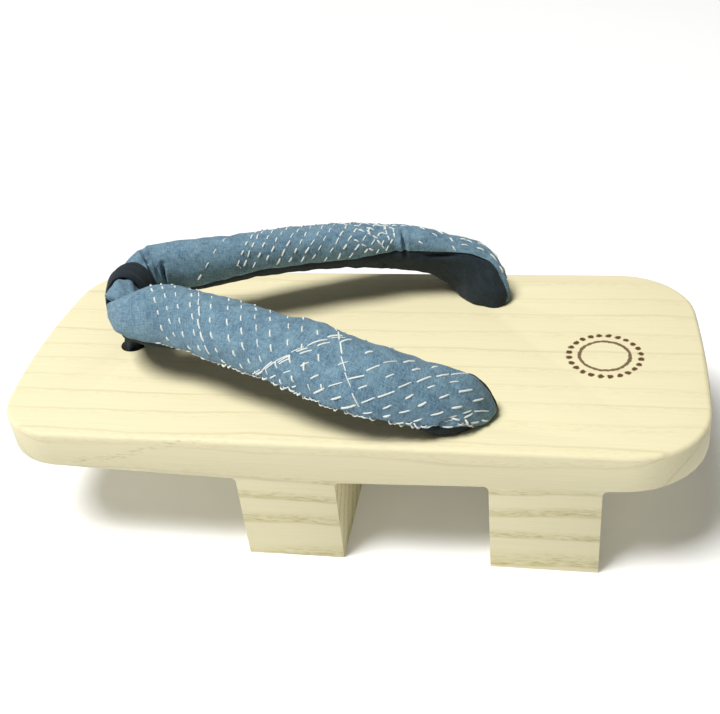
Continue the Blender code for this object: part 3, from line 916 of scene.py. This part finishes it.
# Rows: first place and last place (mm, degrees), stitch length mm, distance to the next mm
NEAR_ROWS = (
    ((24, -22), (39, 137), 2.4, 5.3), ((27, -30), (44, 142), 2.3, 5.1),
    ((30, -34), (50, 150), 2.3, 5.6), ((35, -38), (56, 152), 2.4, 5.4),
    ((38, -36), (60, 160), 3.7, 4.7), ((44, -34), (64, 160), 2.4, 5.6),
    ((50, -40), (72, 165), 2.5, 5.8), ((55, -36), (78, 166), 2.6, 5.4),
    ((60, -40), (84, 168), 2.6, 5.2), ((66, -34), (89, 166), 2.5, 5.8),
    ((73, -38), (94, 160), 2.5, 5.9), ((78, -36), (100, 166), 2.5, 6.4),
    ((84, -34), (105, 165), 2.6, 8.6), ((90, -30), (115, 158), 4.7, 5.3),
    ((76, 163), (101, 34), 5.3, 5.9), ((77.6, 160), (103.4, 27), 4.6, 5.9),
    ((86, 121), (108, 18), 4.6, 6.6), ((82, 160), (98, 92), 2.8, 6.2),
    ((90, 165), (115, 34), 3.0, 9.0), ((100, 147), (128, 8), 5.2, 6.3),
    ((104, 152), (133, 8), 3.6, 8.8), ((109, 156), (140, 2), 5.3, 6.3),
    ((114, 158), (143, 8), 3.4, 7.6), ((120, 150), (145, 22), 3.8, 6.6),
    ((126, 150), (148, 34), 3.6, 6.4), ((133, 138), (150, 50), 3.2, 6.2),
    ((104, -34), (96, 28), 3.0, 6.4), ((112, -30), (105, 26), 3.0, 6.4),
    ((122, -34), (114, 20), 3.0, 7.0),
    ((139, 99), (149.5, 50), 3.4, 4.1), ((140.5, 116), (151, 66), 3.2, 4.0),
)
FAR_ROWS = (
    ((33, -74), (45, 40), 2.8, 7.0), ((46, -46), (62, 110), 2.7, 4.9),
    ((49, -44), (65, 118), 3.4, 4.6), ((52.5, -46), (72, 140), 2.9, 4.8),
    ((57, -44), (77, 150), 3.0, 4.9), ((61.5, -47), (83, 156), 3.6, 4.8),
    ((66, -44), (88, 160), 3.0, 5.0), ((70.5, -46), (93, 162), 3.1, 4.9),
    ((75, -42), (97, 164), 3.0, 5.0), ((80, -44), (102, 166), 3.3, 4.8),
    ((85, -38), (107, 166), 3.0, 5.0), ((90, -40), (112, 164), 3.2, 4.9),
    ((95, -36), (117, 160), 3.0, 5.1), ((99.5, -38), (104.5, 22), 3.0, 4.6),
    ((104, -30), (107.5, 18), 2.6, 4.2), ((88, 62), (108, 8), 3.0, 5.4),
    ((103.4, 44), (105, 2), 2.9, 3.5), ((106.4, 42), (107.4, 10), 2.8, 3.5),
    ((97, 26), (103.4, -24), 2.5, 3.3), ((92, 4), (99, -26), 2.6, 3.4),
    ((94, 32), (102, -2), 2.2, 3.5), ((46.5, -30), (49, -62), 2.8, 4.6),
    ((100, 53), (124, 50), 2.7, 3.5), ((125, 50), (138, 45), 3.0, 3.7),
    ((96, 70), (108, 34), 3.0, 5.4),
    ((112, 66), (128, -6), 2.8, 6.2), ((118, 68), (133, -10), 2.8, 6.6),
    ((116, 2), (126, -40), 2.6, 6.4), ((124, 70), (139, 2), 2.8, 6.2),
    ((129, -4), (135, -34), 2.6, 5.6), ((130, 74), (144, 24), 2.8, 6.0),
    ((133, 2), (152, 32), 2.3, 3.9), ((131, 20), (151, 48), 2.5, 4.4),
    ((97, 160), (122, 60), 4.6, 6.0), ((104, 164), (130, 66), 4.6, 6.2),
    ((110, 164), (138, 64), 3.8, 6.4), ((118, 162), (146, 56), 3.8, 6.4),
    ((126, 160), (150, 62), 3.4, 6.2), ((76, 166), (96, 110), 3.6, 5.6),
)
MM_DEGREES = 360.0 / (GIRTH * 1000)
HAND_DRIFT_MM = 0.16
HAND_LEAN = 0.07
# A thread is dropped onto the cloth from this far outside, and is looked for as far as this
DROP_FROM = 0.006
DROP_TO = -0.004
CLEAR_OF_BOARD = 0.0012
SAG_ALLOWED = 0.00025


def stitch_places(rows, side, picker):
    """Signed station, angle, half run along, half run round for each stitch of the rows."""
    for (s_first, a_first), (s_last, a_last), stitch, pitch in rows:
        run = Vector((s_last - s_first, (a_last - a_first) / MM_DEGREES))
        count = int(run.length // pitch) + 1
        slide = picker.uniform(0.0, 0.6) * pitch
        for index in range(count):
            reach = slide + index * pitch + picker.uniform(-0.07, 0.07) * pitch
            if reach + stitch / 2 > run.length + 0.5:
                continue
            share = reach / run.length
            across = Vector((-run.y, run.x)).normalized() * picker.gauss(0.0, HAND_DRIFT_MM)
            s = s_first + (s_last - s_first) * share + across.x
            a = a_first + (a_last - a_first) * share + across.y * MM_DEGREES
            evenness = 0.92 if stitch > 4.0 else 0.78
            length = stitch * picker.uniform(evenness, 1.08)
            lean = math.atan2(run.y, run.x) + picker.gauss(0.0, HAND_LEAN)
            half_s = math.cos(lean) * length / 2
            half_a = math.sin(lean) * length / 2 * MM_DEGREES
            yield side * s / 1000, a, side * half_s / 1000, half_a


def drop_on(skin, station, angle):
    """Where a ray from outside meets the finished cloth, and the cloth's normal there."""
    outside = arm.point(station, math.radians(angle), DROP_FROM)
    inside = arm.point(station, math.radians(angle), DROP_TO)
    return skin.ray_cast(outside, (inside - outside).normalized(), 2 * DROP_FROM)[:2]


def plan_stitches(places, skin):
    """Points with a thread direction, a cloth normal and a length, for Geometry Nodes."""
    plan = []
    for station, angle, half_s, half_a in places:
        middle, normal = drop_on(skin, station, angle)
        first = drop_on(skin, station - half_s, angle - half_a)[0]
        last = drop_on(skin, station + half_s, angle + half_a)[0]
        if middle is None or first is None or last is None:
            continue
        if min(first.z, last.z) < BOARD_TOP + CLEAR_OF_BOARD:
            continue
        run = last - first
        sink = max((middle - (first + last) / 2).dot(normal) - SAG_ALLOWED, 0.0)
        plan.append((middle - normal * sink * 0.4, run.normalized(), normal, run.length))
    return plan


def plan_mesh(name, plan):
    mesh = bpy.data.meshes.new(name)
    mesh.from_pydata([row[0] for row in plan], [], [])
    for column, label in ((1, "thread_direction"), (2, "cloth_normal")):
        layer = mesh.attributes.new(label, "FLOAT_VECTOR", "POINT")
        layer.data.foreach_set("vector", [value for row in plan for value in row[column]])
    lengths = mesh.attributes.new("stitch_length", "FLOAT", "POINT")
    lengths.data.foreach_set("value", [row[3] for row in plan])
    return mesh


cover_shape = bmesh.new()
cover_shape.from_mesh(cover.data)
cover_skin = BVHTree.FromBMesh(cover_shape)
cover_shape.free()
picker = random.Random(STITCH_SEED)
running_plan = plan_stitches(stitch_places(NEAR_ROWS, -1, picker), cover_skin)
running_plan += plan_stitches(stitch_places(FAR_ROWS, 1, picker), cover_skin)
print("running stitches:", len(running_plan))

# %% [markdown]
# Thread.
# A visible stitch is a short length of soft, slightly loose thread whose two ends dive into the
# cloth. Each could be a curve of its own. Drawing one small arc and letting Geometry Nodes set it
# on every planned point keeps the recipe short, and the inputs of the tree say how thick the
# thread is and how high it stands.

# %% Build the stitch tree
# Input names and their kinds
STITCH_INPUTS = (("Plan", "Geometry"), ("Thread Radius", "Float"), ("Rise", "Float"),
                 ("Dive", "Float"), ("Unevenness", "Float"), ("Seed", "Int"), ("Thread", "Material"))
ARC_STEPS = 6
THREAD_SIDES = 6
THREAD_DARK = (0.56, 0.62, 0.60, 1.0)
THREAD_LIGHT = (0.90, 0.94, 0.90, 1.0)


def build_stitch_tree():
    tree = bpy.data.node_groups.new("thread_stitch", "GeometryNodeTree")
    sockets = {}
    for label, kind in STITCH_INPUTS:
        sockets[label] = tree.interface.new_socket(label, in_out="INPUT",
                                                   socket_type="NodeSocket" + kind)
    tree.interface.new_socket("Stitches", in_out="OUTPUT", socket_type="NodeSocketGeometry")
    given = tree.nodes.new("NodeGroupInput").outputs

    def make(kind, inputs, output=0, **settings):
        return add_node(tree, kind, inputs, **settings).outputs[output]

    def planned(label, kind):
        return make("GeometryNodeInputNamedAttribute", {"Name": label}, data_type=kind)

    dive = times(given["Dive"], -1.0)
    start = make("ShaderNodeCombineXYZ", {0: -0.5, 2: dive})
    end = make("ShaderNodeCombineXYZ", {0: 0.5, 2: dive})
    middle = make("ShaderNodeCombineXYZ", {2: times(given["Rise"], 2.0)})
    arc = make("GeometryNodeCurveQuadraticBezier",
               {"Resolution": ARC_STEPS, "Start": start, "Middle": middle, "End": end})
    ring = make("GeometryNodeCurvePrimitiveCircle",
                {"Resolution": THREAD_SIDES, "Radius": given["Thread Radius"]})
    tube = make("GeometryNodeCurveToMesh",
                {"Curve": arc, "Profile Curve": ring, "Fill Caps": True})
    normal = planned("cloth_normal", "FLOAT_VECTOR")
    direction = planned("thread_direction", "FLOAT_VECTOR")
    turn = make("FunctionNodeAxesToRotation", {0: normal, 1: direction},
                primary_axis="Z", secondary_axis="X")
    least = minus(1.0, given["Unevenness"])
    most = maths("ADD", 1.0, given["Unevenness"])
    chance = make("FunctionNodeRandomValue", {2: least, 3: most, 8: given["Seed"]}, 1,
                  data_type="FLOAT")
    length = planned("stitch_length", "FLOAT")
    scale = make("ShaderNodeCombineXYZ", {0: length, 1: chance, 2: chance})
    placed = make("GeometryNodeInstanceOnPoints",
                  {"Points": given["Plan"], "Instance": tube, "Rotation": turn, "Scale": scale})
    real = make("GeometryNodeRealizeInstances", {0: placed})
    colored = make("GeometryNodeSetMaterial", {"Geometry": real, "Material": given["Thread"]})
    set_inputs(tree.nodes.new("NodeGroupOutput"), {0: colored})
    return tree, {label: socket.identifier for label, socket in sockets.items()}


def paint_thread():
    material, tree, shader = start_material("white_cotton_thread")
    strands = noise_value(object_place(tree), (2500.0, 2500.0, 2500.0))
    set_inputs(shader, {
        "Base Color": mix_colors(strands, THREAD_DARK, THREAD_LIGHT),
        "Normal": bump(strands, 0.0001),
        "Roughness": 0.8,
        "Sheen Weight": 0.2,
    })
    return material


stitch_tree, stitch_inputs = build_stitch_tree()
thread = paint_thread()
print("nodes in the stitch tree:", len(stitch_tree.nodes))

# %% Sew the running stitches
def sew(name, plan, radius, rise, dive, unevenness, seed):
    """Turns a plan into stitches and keeps them as a plain mesh."""
    piece = add_piece(name, plan_mesh(name, plan))
    modifier = piece.modifiers.new("stitches", "NODES")
    modifier.node_group = stitch_tree
    values = {"Thread Radius": radius, "Rise": rise, "Dive": dive, "Unevenness": unevenness,
              "Seed": seed, "Thread": thread}
    for label, value in values.items():
        modifier[stitch_inputs[label]] = value
    as_plain_mesh(piece)
    piece.data.shade_smooth()
    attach(piece, "root")
    return piece


stitches = sew("running_stitches", running_plan, radius=0.0003, rise=0.00026, dive=0.00028,
               unevenness=0.28, seed=5)
print("stitch faces:", len(stitches.data.polygons))

# %% [markdown]
# The sewn edge.
# Cover and lining are closed with thick white thread along the outer seam. Near the toe it lies
# flat on the seam. Further back it whips over the edge and has worn fluffy, so its short loops
# lean every way. The same tree sets both: first a row of flat stitches, and then a row of
# leaning ones that stand higher.

# %% Sew the edge
EDGE_SEED = 17
FLAT_FROM_MM = {-1: 31.0, 1: 42.0}
FLAT_TO_MM = 62.0
WHIPS_FROM_MM = 60.0
WHIPS_TO_MM = 148.0
OFF_SEAM_DEGREES = 7.0


def edge_places(side, start, end, picker, pitch, length, wander, most_lean):
    station = start
    while station < end:
        angle = seam_angle(OUTER_SEAM, station / 1000) - OFF_SEAM_DEGREES
        angle += picker.gauss(0.0, wander)
        lean = math.radians(picker.choice((-1, 1)) * picker.uniform(0.2, 1.0) * most_lean)
        size = length * picker.uniform(0.7, 1.3)
        half_s = math.cos(lean) * size / 2
        half_a = math.sin(lean) * size / 2 * MM_DEGREES
        yield side * station / 1000, angle, side * half_s / 1000, half_a
        station += pitch * picker.uniform(0.6, 1.4)


edge_picker = random.Random(EDGE_SEED)
flat_plan = []
whip_plan = []
for side, start in FLAT_FROM_MM.items():
    flat_places = edge_places(side, start, FLAT_TO_MM, edge_picker, pitch=2.3, length=3.4,
                              wander=1.6, most_lean=10)
    flat_plan += plan_stitches(flat_places, cover_skin)
    whip_places = edge_places(side, WHIPS_FROM_MM, WHIPS_TO_MM, edge_picker, pitch=1.5, length=2.5,
                              wander=5.0, most_lean=42)
    whip_plan += plan_stitches(whip_places, cover_skin)
sew("edge_stitches_toe", flat_plan, radius=0.00024, rise=0.00022, dive=0.00025, unevenness=0.30,
    seed=7)
sew("edge_stitches", whip_plan, radius=0.00026, rise=0.0007, dive=0.0003, unevenness=0.40, seed=9)
print("edge stitches:", len(flat_plan) + len(whip_plan))

# %% [markdown]
# The toe loop.
# A narrow navy strip lies over the bend of the strap, and its two ends go down together through
# the front hole. It is pulled tight, so its edges turn in and soft folds run along it. The band
# is a closed grid that follows the strap's own form, a little above it, and the two ends are one
# gathered tail with folds that twist as they go down.

# %% Make the toe loop
LOOP_HALF_WIDTH = 0.0056
LOOP_THICKNESS = 0.0021
LOOP_CLEARANCE = 0.00015
LOOP_SUNK_INSIDE = 0.0006
LOOP_FOLD_DEPTH = 0.00022
# The band is wider behind and below the bend, by these shares of its width
LOOP_FAR_WIDENING = 0.75
LOOP_NEAR_WIDENING = 0.40
LOOP_WIDEST_DEGREES = -62.0
LOOP_ROUND = 72
LOOP_ACROSS = 14
TAIL_RADIUS = 0.0037
TAIL_STEPS = 26
TAIL_SIDES = 40
TAIL_FOLDS = 5
TAIL_FOLD_DEPTH = 0.10
TAIL_TWIST = 90.0
TAIL_ABOVE_BEND = 0.0015
TAIL_ABOVE_END = 0.0002
# The tail's width at the top as a share, what it loses on the way down, and how early
TAIL_TOP_SHARE = 1.12
TAIL_LOSS = 0.14
TAIL_LOSS_SPEED = 1.4


def loop_ring(angle):
    """Station, angle and lift: out over the band's outside, and back along its inside."""
    behind = max(0.0, math.cos(math.radians(angle - LOOP_WIDEST_DEGREES)))
    outside = []
    inside = []
    for index in range(LOOP_ACROSS + 1):
        share = 2.0 * index / LOOP_ACROSS - 1.0
        widen = 1.0 + (LOOP_FAR_WIDENING if share > 0 else LOOP_NEAR_WIDENING) * behind
        bulge = 1.0 - abs(share) ** 3.0
        folds = math.cos(share * 8.0 + math.sin(math.radians(angle) * 2) * 0.9)
        lift = LOOP_CLEARANCE + LOOP_THICKNESS * bulge + LOOP_FOLD_DEPTH * folds * bulge
        outside.append((share * LOOP_HALF_WIDTH * widen, angle, lift))
        inside.append((share * LOOP_HALF_WIDTH * widen * 0.97, angle,
                       LOOP_CLEARANCE - LOOP_SUNK_INSIDE))
    return outside + inside[-2:0:-1]


def make_loop_band():
    shape, uv_layer = start_shape()
    grid = [[shape.verts.new(arm.point(station, math.radians(angle), lift))
             for station, angle, lift in loop_ring(360.0 * turn / LOOP_ROUND)]
            for turn in range(LOOP_ROUND)]
    join_grid(shape, uv_layer, grid, lambda r, c: (r / LOOP_ROUND * GIRTH, c * 0.0008),
              rows_meet=True)
    return finish_mesh(shape, "toe_loop_band")


def gathered_tube(shape, uv_layer, path, radii, sides, folds, fold_depth, twist):
    """A closed tube along a path, whose section has soft folds that twist along it."""
    lengths = [0.0]
    for place_a, place_b in zip(path, path[1:]):
        lengths.append(lengths[-1] + (place_b - place_a).length)
    rings = []
    side_way = Vector((0.0, 1.0, 0.0))
    for index, place in enumerate(path):
        along = (path[min(index + 1, len(path) - 1)] - path[max(index - 1, 0)]).normalized()
        side_way = (side_way - along * side_way.dot(along)).normalized()
        up_way = along.cross(side_way)
        ring = []
        for side in range(sides):
            turn = 2 * math.pi * side / sides
            ripple = math.cos(folds * (turn - twist * lengths[index]))
            radius = radii[index] * (1.0 - fold_depth + fold_depth * ripple)
            ring.append(shape.verts.new(place + side_way * radius * math.cos(turn)
                                        + up_way * radius * math.sin(turn)))
        rings.append(ring)
    join_grid(shape, uv_layer, rings,
              lambda r, c: (lengths[r], c / sides * 2 * math.pi * radii[r]))
    for ring in (rings[0], rings[-1]):
        close_end(shape, ring, ())


def make_loop_tail():
    shape, uv_layer = start_shape()
    top = arm.point(0.0, math.pi).z + TAIL_ABOVE_BEND
    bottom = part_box("toe_loop")[0].z + TAIL_ABOVE_END
    path = []
    radii = []
    for index in range(TAIL_STEPS + 1):
        height = top + (bottom - top) * index / TAIL_STEPS
        slide = min(max((top - height) / (top - BOARD_TOP), 0.0), 1.0)
        y = BEND_Y + (FRONT_HOLE_Y - BEND_Y) * (3 * slide ** 2 - 2 * slide ** 3)
        path.append(Vector((0.0, y, height)))
        radii.append(TAIL_RADIUS * (TAIL_TOP_SHARE - TAIL_LOSS * min(slide * TAIL_LOSS_SPEED, 1.0)))
    gathered_tube(shape, uv_layer, path, radii, TAIL_SIDES, TAIL_FOLDS, TAIL_FOLD_DEPTH, TAIL_TWIST)
    return finish_mesh(shape, "toe_loop_tail")


loop_band = add_piece("toe_loop_band", make_loop_band(), navy_cotton)
loop_tail = add_piece("toe_loop_tail", make_loop_tail(), navy_cotton)
for piece in (loop_band, loop_tail):
    rounding = piece.modifiers.new("rounding", "SUBSURF")
    rounding.levels = 1
    rounding.render_levels = 1
    as_plain_mesh(piece)
    piece.data.shade_smooth()
    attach(piece, "root")
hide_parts("toe_loop")
print("toe loop faces:", len(loop_band.data.polygons) + len(loop_tail.data.polygons))

# %% [markdown]
# Cords and knots under the board.
# Hemp cord comes down through the rear holes, and a knot holds it under the board. The front
# knot holds the toe loop. Rope can be made from several twisted tubes, but at this size one tube
# with a three-lobed section that turns along its length looks the same and has fewer faces. Its
# path is a trefoil, the simplest knot that has a formula, flattened to the room the solid has.

# %% Tie the knots
FRONT_CORD_RADIUS = 0.0024
REAR_CORD_RADIUS = 0.0021
STEM_WIDENING = 1.15
KNOT_FLATNESS = 0.68
KNOT_TURN = 0.35
KNOT_STEPS = 96
STEM_STEPS = 20
# Sides of the cord's section, its strands, how deep they are, and how fast they turn
CORD_SECTION = (18, 3, 0.09, 900.0)
HEMP_DARK = (0.44, 0.36, 0.22, 1.0)
HEMP_LIGHT = (0.80, 0.72, 0.54, 1.0)


def paint_cord():
    material, tree, shader = start_material("hemp_cord")
    skin = add_node(tree, "ShaderNodeUVMap", uv_map="weave").outputs[0]
    fibres = noise_value(skin, (260.0, 2600.0, 1.0), 3.0)
    set_inputs(shader, {
        "Base Color": mix_colors(spread(fibres, 0.3, 0.7), HEMP_DARK, HEMP_LIGHT),
        "Normal": bump(fibres, 0.0002),
        "Roughness": 0.85,
    })
    return material


def trefoil(middle, half_width, half_height):
    """A knotted ring that fills a flat round room about its middle."""
    path = []
    for index in range(KNOT_STEPS + 1):
        t = 2 * math.pi * index / KNOT_STEPS + KNOT_TURN
        x = (math.sin(t) + 2 * math.sin(2 * t)) / 3.0
        y = (math.cos(t) - 2 * math.cos(2 * t)) / 3.0
        z = -math.sin(3 * t)
        path.append(middle + Vector((x * half_width, y * half_width, z * half_height)))
    return path


def tie_knot(name, node, cord_radius, stem_top, material):
    """A trefoil of cord in the room of the solid, and the cord that comes down into it."""
    low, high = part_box(node)
    middle = (low + high) / 2
    half_width = (high.x - low.x) / 2 - cord_radius
    middle.z = low.z + (half_width + cord_radius) * KNOT_FLATNESS
    half_height = (half_width + cord_radius) * KNOT_FLATNESS - cord_radius
    shape, uv_layer = start_shape()
    path = trefoil(middle, half_width, half_height)
    gathered_tube(shape, uv_layer, path, [cord_radius] * len(path), *CORD_SECTION)
    if stem_top:
        bottom = middle.z + half_height
        stem = [Vector((middle.x, middle.y, stem_top + (bottom - stem_top) * index / STEM_STEPS))
                for index in range(STEM_STEPS + 1)]
        radii = [cord_radius * STEM_WIDENING] * len(stem)
        gathered_tube(shape, uv_layer, stem, radii, *CORD_SECTION)
    piece = add_piece(name, finish_mesh(shape, name), material)
    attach(piece, "root")
    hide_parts(node)
    print(name, "width in mm:", round((half_width + cord_radius) * 2000, 1))


hemp = paint_cord()
tie_knot("front_knot_cord", "front_knot", FRONT_CORD_RADIUS, None, hemp)
for side_name in ("left", "right"):
    tie_knot(f"rear_knot_{side_name}", f"rear_cord_{side_name}", REAR_CORD_RADIUS, BOARD_TOP, hemp)
